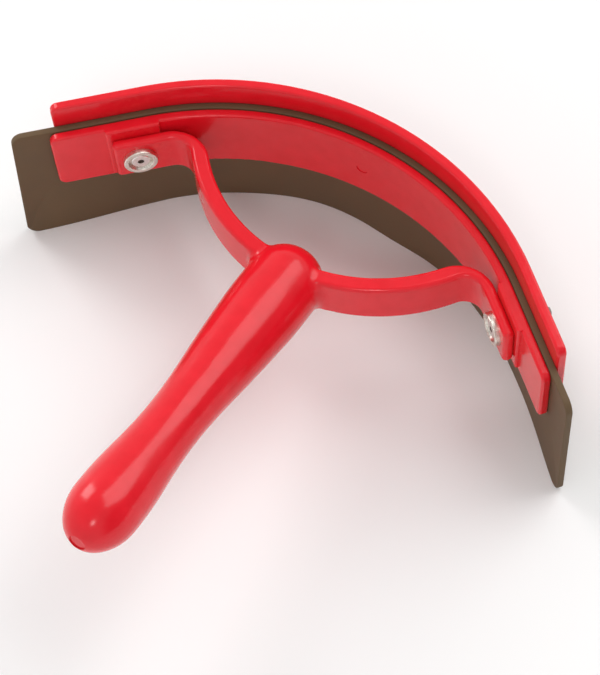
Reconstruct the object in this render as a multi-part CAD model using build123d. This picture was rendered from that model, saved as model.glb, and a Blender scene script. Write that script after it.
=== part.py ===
from build123d import *
import os
from math import asin, atan2, cos, degrees, radians, sin, sqrt

# A one-handed horse sweat scraper: a curved rubber blade is clamped between two bent rails,
# and a Y-shaped handle moulding is riveted to them at both ends.
# Millimetres. +Z points away from the blade's working edge, +Y away from the handle, and X
# runs along the chord of the bend. The origin is the middle of the working edge's thickness,
# at the apex of the bend. Offsets are measured from the blade's mid surface, positive outward.

# ---- the bend that the blade and both rails follow: an arc with straight ends ----
BEND_RADIUS = 131.0          # of the blade's mid surface
BEND_HALF_ANGLE = 41.7       # degrees, from the apex to where the straight ends begin

# ---- rubber blade ----
BLADE_LENGTH = 308.0         # along the bend
BLADE_HEIGHT = 66.0
BLADE_THICK = 2.8
BLADE_CORNER = 5.0
BLADE_EDGE = 0.35

# ---- rails ----
INNER_RAIL_LENGTH = 275.0    # along the bend
OUTER_RAIL_LENGTH = 269.5
RAIL_BOTTOM = 32.5
INNER_RAIL_TOP = 65.5
OUTER_RAIL_TOP = 77.5
INNER_RAIL_THICK = 3.9
OUTER_RAIL_THICK = 4.1
RAIL_CORNER = 3.5
RAIL_EDGE = 1.1
SPRUE_RADIUS = 2.6           # round gate mark on the inner rail's inner face, at the apex
SPRUE_HEIGHT = 49.0
SPRUE_DEPTH = 0.3

# ---- raised boss at each end of the inner rail, in the straight end's own frame ----
BOSS_START = -4.0            # from the end of the arc
BOSS_END = 19.0
BOSS_BOTTOM = 35.0           # the block stops short of the rail's lower edge
BOSS_THICK = 1.6
BOSS_EDGE = 1.0

# ---- arms and pads ----
ARM_THICK = 7.1
PAD_THICK = 4.6
ARM_TOP = 60.4
ARM_BOTTOM = 38.8
ARM_EDGE = 1.9
ARM_RADIUS = 76.0            # of the arms' middle; the two arms are one arc across the hub
ARM_CENTRE_Y = 10.3
BEND_FRONT = 8.0             # bend from arm to pad, on the side that faces the handle
BEND_BACK = 16.0             # and on the side that faces the rail
PAD_END = 17.2
PAD_CORNER = 2.0

# ---- handle, turned about its own axis, which climbs away from the blade ----
HANDLE_TILT = 11.7           # degrees
HANDLE_Y = -69.0             # a point on the axis, level with the arms
HANDLE_Z = 49.8
HUB_RADIUS = 16.3
HUB_DOME = 16.0              # length of the hub's rounded front end
HUB_FLAT_RADIUS = 2.0        # small flat at the dome's middle
HUB_STRAIGHT = 12.0
NECK_AT, NECK_RADIUS = 85.0, 11.85
BULB_AT, BULB_RADIUS = 130.5, 14.4
TAPER = ((30.0, 15.5), (50.0, 14.0), (67.0, 12.5))      # distance and radius, hub to neck
SWELL = ((102.0, 12.65), (118.0, 14.1))                 # neck to bulb
TIP_LENGTH = 20.0            # of the bulb's rounded end
HUB_FILLET = 5.0             # where the arms run into the hub
TIP_MARK_RADIUS = 3.6        # shallow round gate mark in the tip
TIP_MARK_DEPTH = 0.5

# ---- blind rivets and washers ----
RIVET_U = 6.5                # from the end of the arc, along the straight end
RIVET_Z = 49.6
SHANK_RADIUS = 2.4
RIVET_CLEARANCE = 0.05
HOLE_LENGTH = 60.0           # of the cutters, more than the whole riveted stack
FLANGE_ROUND = 0.7           # of the flange's rim
FLANGE_RADIUS = 4.2
FLANGE_THICK = 0.9
MANDREL_RADIUS = 1.3
MANDREL_HEAD_RADIUS = 2.1
MANDREL_HEAD_LENGTH = 1.6
MANDREL_HEAD_ROUND = 0.9
STEM_RECESS = 1.5            # the broken stem's end lies this far below the pad's face
BLIND_RADIUS = 3.7
BLIND_LENGTH = 4.6
BLIND_ROUND = 1.4
CUP_RADIUS = 7.2             # dished washer on the pad, with a raised rim
CUP_RIM = 2.2                # height of the rim
CUP_RIM_WIDTH = 1.9
CUP_SLOPE = 0.8              # width of the slope from the rim to the floor
CUP_FLOOR = 0.6              # the rivet's flange sits on the floor
CUP_ROUND = 0.45
BACK_WASHER_RADIUS = 6.0
BACK_WASHER_THICK = 1.2
SEAT_DEPTH = 0.4             # spot face in the outer rail under the backing washer
SEAT_GAP = 0.3               # around the washer
OVERLAP = 0.1                # solids of one piece run this far into each other

BLADE_INNER = -BLADE_THICK / 2
BLADE_OUTER = BLADE_THICK / 2
INNER_RAIL_FACE = BLADE_INNER - INNER_RAIL_THICK
OUTER_RAIL_FACE = BLADE_OUTER + OUTER_RAIL_THICK
BOSS_FACE = INNER_RAIL_FACE - BOSS_THICK
PAD_FACE = BOSS_FACE - PAD_THICK
SEAT_FACE = OUTER_RAIL_FACE - SEAT_DEPTH

# Heights along a rivet's axis, measured towards the handle from the blade's mid surface.
WASHER_BASE = -PAD_FACE
FLANGE_BASE = WASHER_BASE + CUP_FLOOR
BLIND_BASE = -SEAT_FACE - BACK_WASHER_THICK
BLIND_END = BLIND_BASE - BLIND_LENGTH

HALF_ANGLE = radians(BEND_HALF_ANGLE)
HALF_ARC = BEND_RADIUS * HALF_ANGLE
ARC_END = Vector(BEND_RADIUS * sin(HALF_ANGLE), BEND_RADIUS * (cos(HALF_ANGLE) - 1), 0)
ALONG = Vector(cos(HALF_ANGLE), -sin(HALF_ANGLE), 0)
OUTWARD = Vector(sin(HALF_ANGLE), cos(HALF_ANGLE), 0)

# Frame of the right straight end: local x runs outward along it, y is up, z points inward.
END = Plane(origin=ARC_END, x_dir=ALONG, z_dir=-OUTWARD)


def left_of(part):
    """The same piece at the left end."""
    return mirror(part, about=Plane.YZ)


def plan_point(beyond, offset):
    """Plan position on the right straight end."""
    return ARC_END + ALONG * beyond + OUTWARD * offset


def strip(inner, outer, length, bottom, top, corner, edge):
    """A strip that follows the bend, with rounded corners and softened edges."""
    beyond = length / 2 - HALF_ARC
    start = 90 - BEND_HALF_ANGLE
    outline = []
    for offset in (inner, outer):
        near = plan_point(0, offset)
        far = plan_point(beyond, offset)
        outline.append(CenterArc((0, -BEND_RADIUS), BEND_RADIUS + offset, start, 2 * BEND_HALF_ANGLE))
        outline.append(Line(near, far))
        outline.append(Line((-near.X, near.Y), (-far.X, far.Y)))
    ends = [plan_point(beyond, inner), plan_point(beyond, outer)]
    outline.append(Line(*ends))
    outline.append(Line(*[(-end.X, end.Y) for end in ends]))
    height = top - bottom
    across = 1.01 * (outer - inner)
    solid = Pos(0, 0, bottom) * extrude(make_face(outline), height)
    solid = fillet([e for e in solid.edges() if e.length < across], corner)
    # The full-height edges are smooth seams between the arc and the straight ends.
    rim = [e for e in solid.edges() if e.length > across and abs((e @ 0).Z - (e @ 1).Z) < height]
    return fillet(rim, edge)


def rivet_holes(part):
    """Cut both rivet holes through a part."""
    bore = END * Pos(RIVET_U, RIVET_Z, 0) * Cylinder(SHANK_RADIUS + RIVET_CLEARANCE, HOLE_LENGTH)
    return part - bore - left_of(bore)


def disc(radius, low, high):
    """A solid disc on the rivet's axis, in the axis's own frame."""
    return Pos(0, 0, low) * Cylinder(radius, high - low, align=(Align.CENTER, Align.CENTER, Align.MIN))


def on_rivet_axis(part):
    """Bring a turned piece from its own frame to the right rivet."""
    return END * Pos(RIVET_U, RIVET_Z, 0) * part


def rubber_blade():
    blade = strip(BLADE_INNER, BLADE_OUTER, BLADE_LENGTH, 0, BLADE_HEIGHT, BLADE_CORNER, BLADE_EDGE)
    return rivet_holes(blade)


def boss():
    """Raised block on the inner rail that the right pad is riveted against."""
    depth = INNER_RAIL_THICK / 2 + BOSS_THICK
    height = INNER_RAIL_TOP - BOSS_BOTTOM
    block = Box(BOSS_END - BOSS_START, height, depth, align=(Align.MIN, Align.MIN, Align.MAX))
    block = fillet(block.faces().sort_by(Axis.Z)[-1].edges(), BOSS_EDGE)
    return END * Pos(BOSS_START, BOSS_BOTTOM, -BOSS_FACE) * block


def inner_rail():
    rail = strip(
        INNER_RAIL_FACE,
        BLADE_INNER,
        INNER_RAIL_LENGTH,
        RAIL_BOTTOM,
        INNER_RAIL_TOP,
        RAIL_CORNER,
        RAIL_EDGE,
    )
    rail = rail + boss() + left_of(boss())
    mark_plane = Plane(origin=(0, INNER_RAIL_FACE, SPRUE_HEIGHT), z_dir=(0, -1, 0))
    rail -= mark_plane * Cylinder(SPRUE_RADIUS, 2 * SPRUE_DEPTH)
    return rivet_holes(rail)


def outer_rail():
    rail = strip(
        BLADE_OUTER,
        OUTER_RAIL_FACE,
        OUTER_RAIL_LENGTH,
        RAIL_BOTTOM,
        OUTER_RAIL_TOP,
        RAIL_CORNER,
        RAIL_EDGE,
    )
    seat = on_rivet_axis(disc(BACK_WASHER_RADIUS + SEAT_GAP, BLIND_END, -SEAT_FACE))
    return rivet_holes(rail - seat - left_of(seat))


def arm_side(radius, pad_offset, bend_radius):
    """One side of the right arm in plan: from the hub, round the bend, to the pad's end."""
    centre = Vector(0, ARM_CENTRE_Y, 0)
    to_centre = centre - ARC_END
    gap = (pad_offset - bend_radius) - to_centre.dot(OUTWARD)
    reach = sqrt((radius + bend_radius) ** 2 - gap**2)
    bend_at = to_centre.dot(ALONG) + reach
    bend_centre = plan_point(bend_at, pad_offset - bend_radius)
    toward = bend_centre - centre
    arm_end = degrees(atan2(toward.Y, toward.X))
    bend_start = arm_end + 180
    bend_turn = (90 - BEND_HALF_ANGLE - bend_start) % 360 - 360
    return [
        CenterArc((0, ARM_CENTRE_Y), radius, -90, arm_end + 90),
        CenterArc((bend_centre.X, bend_centre.Y), bend_radius, bend_start, bend_turn),
        Line(plan_point(bend_at, pad_offset), plan_point(PAD_END, pad_offset)),
    ]


def arm():
    """Right arm and pad: a flat bar that thins round the bend, with softened edges."""
    front = arm_side(ARM_RADIUS + ARM_THICK / 2, PAD_FACE, BEND_FRONT)
    back = arm_side(ARM_RADIUS - ARM_THICK / 2, BOSS_FACE, BEND_BACK)
    root = Line(front[0] @ 0, back[0] @ 0)
    end = Line(front[2] @ 1, back[2] @ 1)
    bar = Pos(0, 0, ARM_BOTTOM) * extrude(make_face([*front, *back, root, end]), ARM_TOP - ARM_BOTTOM)
    upright = bar.edges().filter_by(Axis.Z).sort_by(Axis.X)[-2:]
    bar = fillet(upright, PAD_CORNER)
    level = [e for e in bar.edges() if abs((e @ 0).Z - (e @ 1).Z) < OVERLAP and e.center().X > OVERLAP]
    return fillet(level, ARM_EDGE)


def handle():
    """The hub, grip and bulb, turned about the tilted axis, with a shallow round mark in the tip."""
    flat_angle = degrees(asin(HUB_FLAT_RADIUS / HUB_RADIUS))
    dome = EllipticalCenterArc((0, 0), HUB_DOME, HUB_RADIUS, 90, arc_size=90 - flat_angle)
    flat = Line(dome @ 1, ((dome @ 1).X, 0))
    hub = Line((0, HUB_RADIUS), (HUB_STRAIGHT, HUB_RADIUS))
    grip = Spline(
        (HUB_STRAIGHT, HUB_RADIUS),
        *TAPER,
        (NECK_AT, NECK_RADIUS),
        *SWELL,
        (BULB_AT, BULB_RADIUS),
        tangents=((1, 0), (1, 0)),
    )
    mark_angle = degrees(asin(TIP_MARK_RADIUS / BULB_RADIUS))
    tip = EllipticalCenterArc(
        (BULB_AT, 0), TIP_LENGTH, BULB_RADIUS, mark_angle, arc_size=90 - mark_angle
    )
    floor = tip @ 0 - (TIP_MARK_DEPTH, 0)
    mark = Polyline(tip @ 0, floor, (floor.X, 0))
    axis_line = Line(flat @ 1, mark @ 1)
    body = revolve(make_face([flat, dome, hub, grip, tip, mark, axis_line]), Axis.X)
    tilt = radians(HANDLE_TILT)
    lie = Plane(origin=(0, HANDLE_Y, HANDLE_Z), x_dir=(0, -cos(tilt), sin(tilt)), z_dir=(1, 0, 0))
    return lie * body


def yoke_handle():
    """One moulding: the handle and both arms, blended where they meet the hub."""
    right = arm()
    body = handle() + right + left_of(right)
    curved = body.edges().filter_by(GeomType.BSPLINE)
    junction = [e for e in curved if HUB_RADIUS / 2 < abs(e.center().X) < 1.1 * HUB_RADIUS]
    return rivet_holes(fillet(junction, HUB_FILLET))


def rivet_body():
    """Blind rivet: domed flange inside, swollen blind end outside, hollow along its axis."""
    flange = disc(FLANGE_RADIUS, FLANGE_BASE, FLANGE_BASE + FLANGE_THICK)
    flange = fillet(flange.faces().sort_by(Axis.Z)[-1].edges(), FLANGE_ROUND)
    shank = disc(SHANK_RADIUS, BLIND_BASE - OVERLAP, FLANGE_BASE + OVERLAP)
    blind = disc(BLIND_RADIUS, BLIND_END, BLIND_BASE)
    blind = fillet(blind.edges().filter_by(GeomType.CIRCLE), BLIND_ROUND)
    bore = Cylinder(MANDREL_RADIUS + RIVET_CLEARANCE, HOLE_LENGTH)
    return on_rivet_axis(flange + shank + blind - bore)


def rivet_mandrel():
    """What is left of the pulled mandrel: a broken stem and the head that spread the blind end."""
    stem = disc(MANDREL_RADIUS, BLIND_END - OVERLAP, WASHER_BASE - STEM_RECESS)
    head = disc(MANDREL_HEAD_RADIUS, BLIND_END - MANDREL_HEAD_LENGTH, BLIND_END)
    head = fillet(head.faces().sort_by(Axis.Z)[0].edges(), MANDREL_HEAD_ROUND)
    return on_rivet_axis(stem + head)


def front_washer():
    """Dished washer: a rounded rim stands round the floor that the rivet's flange is pulled against."""
    hole = SHANK_RADIUS + RIVET_CLEARANCE
    crest = CUP_RADIUS - CUP_RIM_WIDTH
    profile = Polyline(
        (hole, 0),
        (CUP_RADIUS, 0),
        (CUP_RADIUS, CUP_RIM),
        (crest, CUP_RIM),
        (crest - CUP_SLOPE, CUP_FLOOR),
        (hole, CUP_FLOOR),
        close=True,
    )
    cup = revolve(Plane.XZ * make_face(profile), Axis.Z)
    cup = fillet([e for e in cup.edges() if e.center().Z > CUP_RIM - OVERLAP], CUP_ROUND)
    return on_rivet_axis(Pos(0, 0, WASHER_BASE) * cup)


def backing_washer():
    """Flat washer under the rivet's blind end."""
    hole = disc(SHANK_RADIUS + RIVET_CLEARANCE, BLIND_BASE, -SEAT_FACE)
    return on_rivet_axis(disc(BACK_WASHER_RADIUS, BLIND_BASE, -SEAT_FACE) - hole)


def build():
    """Every node by name."""
    nodes = {
        "yoke_handle": yoke_handle(),
        "inner_rail": inner_rail(),
        "rubber_blade": rubber_blade(),
        "outer_rail": outer_rail(),
    }
    for make in (rivet_body, rivet_mandrel, front_washer, backing_washer):
        right = make()
        nodes["right_" + make.__name__] = right
        nodes["left_" + make.__name__] = left_of(right)
    return nodes


os.makedirs("parts", exist_ok=True)
for name, solid in build().items():
    export_step(solid, f"parts/{name}.step")
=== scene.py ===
from math import cos, exp, pi, radians, sin, sqrt

import bmesh
import bpy
from mathutils import Matrix, Vector


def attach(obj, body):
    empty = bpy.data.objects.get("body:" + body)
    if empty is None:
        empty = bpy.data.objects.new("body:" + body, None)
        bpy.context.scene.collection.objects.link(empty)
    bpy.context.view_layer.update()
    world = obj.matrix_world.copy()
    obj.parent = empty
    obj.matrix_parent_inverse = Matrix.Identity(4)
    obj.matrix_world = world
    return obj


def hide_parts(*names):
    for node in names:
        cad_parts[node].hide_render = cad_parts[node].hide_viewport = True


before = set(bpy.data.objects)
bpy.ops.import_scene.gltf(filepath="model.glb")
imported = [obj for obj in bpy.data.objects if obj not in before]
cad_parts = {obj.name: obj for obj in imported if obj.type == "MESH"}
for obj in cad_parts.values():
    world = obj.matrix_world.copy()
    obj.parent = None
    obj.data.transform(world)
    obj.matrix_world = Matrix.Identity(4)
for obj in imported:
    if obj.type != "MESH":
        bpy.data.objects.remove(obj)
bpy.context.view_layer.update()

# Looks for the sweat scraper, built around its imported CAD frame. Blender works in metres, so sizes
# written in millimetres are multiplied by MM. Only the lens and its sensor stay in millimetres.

MM = 0.001
MICRON = 0.000001

# The view: where the camera stands and what it looks at, and its roll in degrees.
CAMERA_AT = Vector((266.4, -436.4, 825.0)) * MM
LOOK_AT = Vector((2.45, -65.22, 0.0)) * MM
CAMERA_ROLL = -5.6
LENS = 117.65                # focal length and sensor width, both in millimetres
SENSOR = 36.0
NEAREST, FARTHEST = 0.05, 20.0

# The studio, in metres. Directions are an azimuth and an elevation in degrees.
FLOOR_HALF = 4.0
SOFT_BOXES = (               # name, azimuth, elevation, distance, width and height, radiance
    ("back", 152, 54, 3.2, (2.3, 2.6), 2.3),
    ("key", -107, 36, 3.6, (1.28, 1.92), 4.6),
    ("front", 24, 52, 3.6, (0.55, 0.55), 12.0),
)
WALL_LIGHT = 0.80
CEILING_LIGHT = 0.50
CEILING_START = 0.3          # sine of the elevation where the walls begin to dim
DARK_WALL = (98, 10)
DARK_WALL_INNER, DARK_WALL_OUTER = radians(26), radians(50)
DARK_WALL_SHARE = 0.25       # of the light that the other walls give
WALL_TINT = (1.0, 0.995, 0.985, 1)

# The rubber blade, in millimetres: the same strip as in the CAD, round an arc with straight ends.
BEND_RADIUS = 131.0
HALF_BEND = radians(41.7)
HALF_ARC = BEND_RADIUS * HALF_BEND
BLADE_HALF_LENGTH = 154.0
BLADE_HEIGHT = 66.0
BLADE_CORNER = 5.0
BLADE_COLUMNS = 200
BLADE_ROWS = 44
# Round the softened edge, from one face to the other: inset from the outline, and offset from
# the mid surface.
EDGE_RINGS = ((0.35, -1.4), (0.10, -1.3), (0.0, -1.05), (0.0, 1.05), (0.10, 1.3), (0.35, 1.4))
CLAMP_BOTTOM = 32.5          # the rails hold the blade above this height
CLAMP_HALF_LENGTH = 134.0    # and this far to each side
FREE_END = BLADE_HALF_LENGTH - CLAMP_HALF_LENGTH
# Curl of the free lower edge: where along the bend, how wide, and how far outward.
CURLS = ((-154, 45, -4.4), (-30, 20, 1.0), (14, 18, -1.9), (108, 22, 0.8), (154, 20, -2.0))
CURL_POWER = 1.6             # how late below the rails the curl sets in
LEFT_SPREAD, RIGHT_SPREAD = 3.2, 3.8     # how far the lower corners run out past the upper ones
SPREAD_PIVOT = 0.8           # share of the height where the ends keep their place
RIVET_ALONG = HALF_ARC + 6.5 # on the straight end, just past the bend
RIVET_HEIGHT = 49.6
RIVET_HOLE = 2.45
CUTTER_LENGTH = 20.0
CUTTER_SIDES = 48


# ---- node helpers -----------------------------------------------------------------------------

MIX_FIRST, MIX_SECOND, MIX_COLOUR = 6, 7, 2     # a Mix node's colour sockets


class Graph:
    """The node tree of a material or a world, with short calls for making and joining nodes."""

    def __init__(self, owner):
        self.owner = owner
        owner.use_nodes = True
        self.tree = owner.node_tree
        self.coordinates = self.add("ShaderNodeTexCoord")

    def add(self, kind, values=None, **settings):
        node = self.tree.nodes.new(kind)
        for key, value in settings.items():
            setattr(node, key, value)
        for key, value in (values or {}).items():
            self.feed(node.inputs[key], value)
        return node

    def feed(self, socket, value):
        if isinstance(value, bpy.types.NodeSocket):
            self.tree.links.new(value, socket)
        else:
            socket.default_value = value

    def noise(self, scale, detail=3.0, roughness=0.5, stretch=(1, 1, 1)):
        """Noise over the object's own space, with a feature size of about 1 / scale metres."""
        own = self.coordinates.outputs["Object"]
        spot = self.add("ShaderNodeMapping", {"Vector": own, "Scale": stretch})
        node = self.add(
            "ShaderNodeTexNoise",
            {"Vector": spot.outputs["Vector"], "Scale": scale, "Detail": detail, "Roughness": roughness},
        )
        return node.outputs["Fac"]

    def remap(self, value, low, high, to_low, to_high, curve="LINEAR"):
        node = self.add(
            "ShaderNodeMapRange",
            {"Value": value, "From Min": low, "From Max": high, "To Min": to_low, "To Max": to_high},
            interpolation_type=curve,
        )
        return node.outputs["Result"]

    def mix(self, factor, first, second):
        values = {"Factor": factor, MIX_FIRST: first, MIX_SECOND: second}
        return self.add("ShaderNodeMix", values, data_type="RGBA").outputs[MIX_COLOUR]

    def math(self, operation, first, second):
        return self.add("ShaderNodeMath", {0: first, 1: second}, operation=operation).outputs[0]

    def bump(self, height, depth, below=None):
        """Relief of that depth in microns, on top of another bump if one is given."""
        node = self.add("ShaderNodeBump", {"Height": height, "Distance": depth * MICRON, "Strength": 1.0})
        if below is not None:
            self.feed(node.inputs["Normal"], below)
        return node.outputs["Normal"]

    def edges(self, low, high):
        """0 on flat and hollow areas, 1 on sharp convex edges."""
        point = self.add("ShaderNodeNewGeometry").outputs["Pointiness"]
        return self.remap(point, low, high, 0.0, 1.0)

    def finish(self, shader="Principled BSDF", **values):
        """Feed the shader's sockets and give back the material or world."""
        for key, value in values.items():
            self.feed(self.tree.nodes[shader].inputs[key.replace("_", " ")], value)
        return self.owner


def material_graph(name):
    return Graph(bpy.data.materials.new(name))


# ---- materials --------------------------------------------------------------------------------

def red_plastic():
    """Glossy injection-moulded red plastic: slight colour drift, soft flow ripple, fine scuffs, and a painted
    highlight on convex edges.
    """
    deep, bright = (0.76, 0.007, 0.017, 1), (0.82, 0.010, 0.022, 1)
    # A lighter, more orange red, painted onto convex edges as a painted highlight.
    edge_highlight_colour = (0.90, 0.050, 0.045, 1)
    g = material_graph("red_plastic")
    drift = g.noise(18.0, 2.0)
    mottle = g.noise(140.0, 3.0)
    tone = g.math("MULTIPLY", drift, mottle)
    colour = g.mix(g.remap(tone, 0.15, 0.38, 0.0, 1.0), deep, bright)
    # Painted highlight: convex edges from pointiness, broken into patches by noise.
    painted_edge_highlight = g.math("MULTIPLY", g.edges(0.52, 0.62), g.remap(g.noise(420.0, 4.0), 0.45, 0.75, 0.0, 0.4))
    colour = g.mix(painted_edge_highlight, colour, edge_highlight_colour)
    scuffs = g.noise(500.0, 5.0, 0.65, stretch=(1, 0.15, 0.5))
    ripple = g.noise(40.0, 2.0, 0.4)
    grain = g.noise(1500.0, 2.0)
    scuffed = g.remap(scuffs, 0.35, 0.75, 0.14, 0.24)
    rough = g.math("ADD", scuffed, g.remap(drift, 0.3, 0.7, -0.02, 0.02))
    relief = g.bump(ripple, 60)
    relief = g.bump(scuffs, 2.5, relief)
    relief = g.bump(grain, 1, relief)
    return g.finish(
        Base_Color=colour,
        Roughness=rough,
        Normal=relief,
        IOR=1.5,
        Specular_IOR_Level=0.42,
        Sheen_Weight=0.06,
        Sheen_Roughness=0.35,
        Sheen_Tint=(1.0, 0.55, 0.35, 1),
    )


def blade_rubber():
    """Matte olive-brown rubber with a faint calendered grain, bloom and lint."""
    dark, pale, bloom = (0.115, 0.070, 0.034, 1), (0.142, 0.088, 0.044, 1), (0.22, 0.150, 0.085, 1)
    g = material_graph("blade_rubber")
    cloud = g.noise(35.0, 4.0, 0.55)
    speck = g.noise(1100.0, 3.0, 0.7)
    colour = g.mix(g.remap(cloud, 0.3, 0.7, 0.0, 1.0), dark, pale)
    colour = g.mix(g.remap(speck, 0.62, 0.80, 0.0, 0.35), colour, bloom)
    grain = g.noise(1700.0, 4.0, 0.6)
    drag = g.noise(240.0, 3.0, 0.5, stretch=(0.25, 0.25, 2.5))
    rough = g.remap(cloud, 0.3, 0.7, 0.58, 0.72)
    relief = g.bump(drag, 10)
    relief = g.bump(grain, 5, relief)
    return g.finish(Base_Color=colour, Roughness=rough, Normal=relief, IOR=1.5, Specular_IOR_Level=0.35)


def bright_metal(name, light, dark, smooth, dull):
    """Plated or bare metal with small stains and turned or tumbled scratches."""
    g = material_graph(name)
    stain = g.noise(700.0, 4.0, 0.6)
    scratch = g.noise(3000.0, 3.0, 0.6, stretch=(1, 1, 0.15))
    colour = g.mix(g.remap(stain, 0.40, 0.72, 0.0, 1.0), light, dark)
    rough = g.remap(scratch, 0.3, 0.7, smooth, dull)
    relief = g.bump(scratch, 4)
    relief = g.bump(stain, 10, relief)
    return g.finish(Base_Color=colour, Roughness=rough, Normal=relief, Metallic=1.0)


def pale_floor():
    """Matt white paint with a barely visible drift."""
    g = material_graph("floor")
    tone = g.remap(g.noise(3.0, 2.0), 0.3, 0.7, 0.0, 1.0)
    colour = g.mix(tone, (0.93, 0.93, 0.93, 1), (0.95, 0.95, 0.95, 1))
    return g.finish(Base_Color=colour, Roughness=0.9)


def assign(piece, material):
    piece.data.materials.clear()
    piece.data.materials.append(material)


# ---- stage ------------------------------------------------------------------------------------

def new_object(name, data):
    """A new object in the scene."""
    item = bpy.data.objects.new(name, data)
    bpy.context.scene.collection.objects.link(item)
    return item


def camera():
    """The main view: from above the right of the handle, a little rolled."""
    back = (CAMERA_AT - LOOK_AT).normalized()
    right = (-back).cross(Vector((0, 0, 1))).normalized()
    up = right.cross(-back)
    roll = radians(CAMERA_ROLL)
    across = right * cos(roll) + up * sin(roll)
    upward = up * cos(roll) - right * sin(roll)
    data = bpy.data.cameras.new("camera")
    data.lens = LENS
    data.sensor_width = SENSOR
    data.sensor_fit = "AUTO"
    data.clip_start = NEAREST
    data.clip_end = FARTHEST
    item = new_object("camera", data)
    item.matrix_world = Matrix.Translation(CAMERA_AT) @ Matrix((across, upward, back)).transposed().to_4x4()
    bpy.context.scene.camera = item


def floor():
    """A plain pale floor at the working edge's height."""
    mesh = bpy.data.meshes.new("floor")
    corners = [(x * FLOOR_HALF, y * FLOOR_HALF, 0) for x, y in ((-1, -1), (1, -1), (1, 1), (-1, 1))]
    mesh.from_pydata(corners, [], [(0, 1, 2, 3)])
    item = new_object("floor", mesh)
    assign(item, pale_floor())


def toward(azimuth, elevation):
    """Unit vector from the object: azimuth 0 is along -Y, and 90 is along +X."""
    a, e = radians(azimuth), radians(elevation)
    return Vector((sin(a) * cos(e), -cos(a) * cos(e), sin(e)))


def soft_box(name, azimuth, elevation, distance, size, radiance):
    """An area light that faces the object, of the given radiance all over its face."""
    data = bpy.data.lights.new(name, "AREA")
    data.shape = "RECTANGLE"
    data.size, data.size_y = size
    data.energy = pi * size[0] * size[1] * radiance
    item = new_object(name, data)
    item.location = LOOK_AT + toward(azimuth, elevation) * distance
    item.rotation_mode = "QUATERNION"
    item.rotation_quaternion = toward(azimuth, elevation).to_track_quat("Z", "Y")


def studio_walls():
    """The room's soft light: pale all round, dimmer overhead, and dark on one side."""
    g = Graph(bpy.data.worlds.new("studio"))
    direction = g.coordinates.outputs["Generated"]
    height = g.add("ShaderNodeSeparateXYZ", {0: direction}).outputs["Z"]
    overhead = g.remap(height, CEILING_START, 1.0, WALL_LIGHT, CEILING_LIGHT)
    facing = g.add("ShaderNodeVectorMath", {0: direction, 1: toward(*DARK_WALL)}, operation="DOT_PRODUCT")
    outer, inner = cos(DARK_WALL_OUTER), cos(DARK_WALL_INNER)
    shade = g.remap(facing.outputs["Value"], outer, inner, 1.0, DARK_WALL_SHARE, curve="SMOOTHSTEP")
    level = g.math("MULTIPLY", overhead, shade)
    bpy.context.scene.world = g.finish("Background", Strength=level, Color=WALL_TINT)


def lighting():
    studio_walls()
    for box in SOFT_BOXES:
        soft_box(*box)
    bpy.context.scene.view_settings.view_transform = "Standard"


# ---- the object -------------------------------------------------------------------------------

def blade_point(along, height, offset):
    """A point of the flat, uncurled blade: along its bend, up, and off its mid surface."""
    arc = min(max(along, -HALF_ARC), HALF_ARC)
    turn = arc / BEND_RADIUS
    beyond = along - arc
    x = (BEND_RADIUS + offset) * sin(turn) + beyond * cos(turn)
    y = (BEND_RADIUS + offset) * cos(turn) - BEND_RADIUS - abs(beyond) * sin(abs(turn))
    return Vector((x, y, height)) * MM


def past_clamp(along):
    """0 between the rails, 1 at the blade's end."""
    return max(0.0, abs(along) - CLAMP_HALF_LENGTH) / FREE_END


def curl(along, height):
    """How far the rubber has bent outward there: nothing between the rails, most at the free edge."""
    below = max(0.0, CLAMP_BOTTOM - height) / CLAMP_BOTTOM
    loose = max(below**CURL_POWER, past_clamp(along) ** 2 * (1 - height / BLADE_HEIGHT))
    return loose * sum(high * exp(-(((along - at) / wide) ** 2)) for at, wide, high in CURLS)


def spread(along, height):
    """Stretch along the bend that slants the blade's two ends."""
    reach = RIGHT_SPREAD if along > 0 else -LEFT_SPREAD
    return reach * past_clamp(along) * (SPREAD_PIVOT - height / BLADE_HEIGHT)


def blade_vertex(column, row, inset, offset):
    """A grid point of the blade's face, with the outline drawn in by the inset.

    Columns crowd towards the ends, so that the corners come out round.
    """
    half = BLADE_HALF_LENGTH - inset
    corner = BLADE_CORNER - inset
    along = half * sin(pi / 2 * (2 * column / BLADE_COLUMNS - 1))
    into_corner = max(0.0, abs(along) - (half - corner))
    cut = corner - sqrt(max(0.0, corner**2 - into_corner**2))
    bottom, top = inset + cut, BLADE_HEIGHT - inset - cut
    height = bottom + (top - bottom) * row / BLADE_ROWS
    return blade_point(along + spread(along, height), height, offset + curl(along, height))


def blade_mesh():
    """The blade's two faces and the softened edge between them."""
    mesh = bmesh.new()
    columns, rows = range(BLADE_COLUMNS + 1), range(BLADE_ROWS + 1)
    rim = [(c, 0) for c in columns] + [(BLADE_COLUMNS, r) for r in rows[1:]]
    rim += [(c, BLADE_ROWS) for c in columns[-2::-1]] + [(0, r) for r in rows[-2:0:-1]]
    rings = []
    for inset, offset in (EDGE_RINGS[0], EDGE_RINGS[-1]):
        face = {(c, r): mesh.verts.new(blade_vertex(c, r, inset, offset)) for c in columns for r in rows}
        for c in columns[:-1]:
            for r in rows[:-1]:
                mesh.faces.new([face[c, r], face[c + 1, r], face[c + 1, r + 1], face[c, r + 1]])
        rings.append([face[place] for place in rim])
    between = [[mesh.verts.new(blade_vertex(*place, *ring)) for place in rim] for ring in EDGE_RINGS[1:-1]]
    rings = [rings[0], *between, rings[1]]
    for near, far in zip(rings, rings[1:]):
        for k in range(len(rim)):
            mesh.faces.new([near[k - 1], near[k], far[k], far[k - 1]])
    bmesh.ops.recalc_face_normals(mesh, faces=mesh.faces)
    return mesh


def new_piece(name, mesh):
    data = bpy.data.meshes.new(name)
    mesh.to_mesh(data)
    mesh.free()
    return new_object(name, data)


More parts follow.
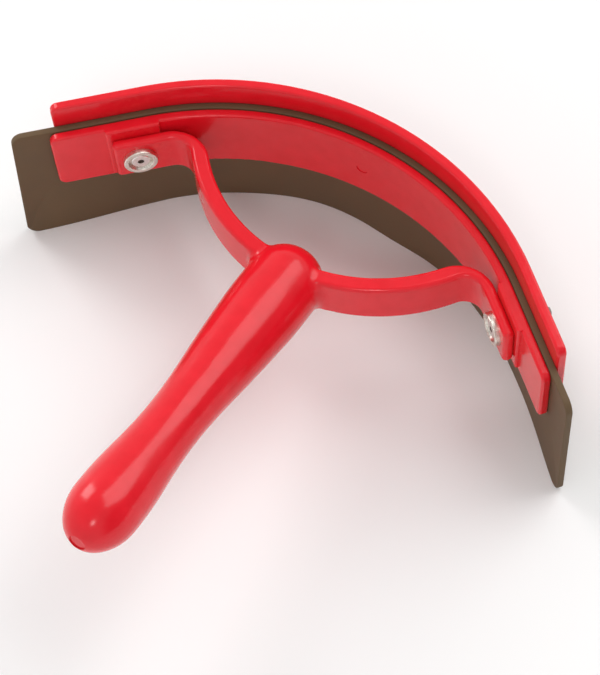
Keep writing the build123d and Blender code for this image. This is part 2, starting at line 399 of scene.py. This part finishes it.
def hole_cutter(side):
    """A bar through the blade where a rivet passes."""
    turn = side * HALF_ARC / BEND_RADIUS
    centre = Matrix.Translation(blade_point(side * RIVET_ALONG, RIVET_HEIGHT, 0))
    outward = Vector((sin(turn), cos(turn), 0)).to_track_quat("Z", "Y").to_matrix().to_4x4()
    mesh = bmesh.new()
    bmesh.ops.create_cone(
        mesh,
        cap_ends=True,
        segments=CUTTER_SIDES,
        radius1=RIVET_HOLE * MM,
        radius2=RIVET_HOLE * MM,
        depth=CUTTER_LENGTH * MM,
        matrix=centre @ outward,
    )
    return new_piece("hole_cutter", mesh)


def cut_holes(item, cutters):
    """Cut the cutters' holes in the item's mesh, and remove the cutters."""
    for cutter in cutters:
        hole = item.modifiers.new("hole", "BOOLEAN")
        hole.operation = "DIFFERENCE"
        hole.solver = "EXACT"
        hole.object = cutter
    cut = item.evaluated_get(bpy.context.evaluated_depsgraph_get())
    item.data = bpy.data.meshes.new_from_object(cut)
    item.modifiers.clear()
    for cutter in cutters:
        bpy.data.objects.remove(cutter)


def warped_blade():
    """The rubber blade as it has set: its free edge waves and its lower corners curl and spread."""
    item = new_piece("warped_blade", blade_mesh())
    cut_holes(item, [hole_cutter(side) for side in (-1, 1)])
    for face in item.data.polygons:
        face.use_smooth = True
    assign(item, blade_rubber())
    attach(item, "root")
    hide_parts("rubber_blade")


def dress_nodes():
    """Give the shown CAD nodes their materials."""
    red = red_plastic()
    washer = bright_metal("washer_metal", (0.80, 0.76, 0.69, 1), (0.60, 0.55, 0.48, 1), smooth=0.22, dull=0.40)
    rivet = bright_metal("rivet_metal", (0.84, 0.80, 0.77, 1), (0.66, 0.60, 0.56, 1), smooth=0.12, dull=0.28)
    stem = bright_metal("mandrel_metal", (0.30, 0.27, 0.24, 1), (0.10, 0.08, 0.06, 1), smooth=0.35, dull=0.60)
    for node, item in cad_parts.items():
        if "washer" in node:
            assign(item, washer)
        elif "rivet_body" in node:
            assign(item, rivet)
        elif "mandrel" in node:
            assign(item, stem)
        elif "rubber" not in node:
            assign(item, red)


camera()
floor()
lighting()
dress_nodes()
warped_blade()
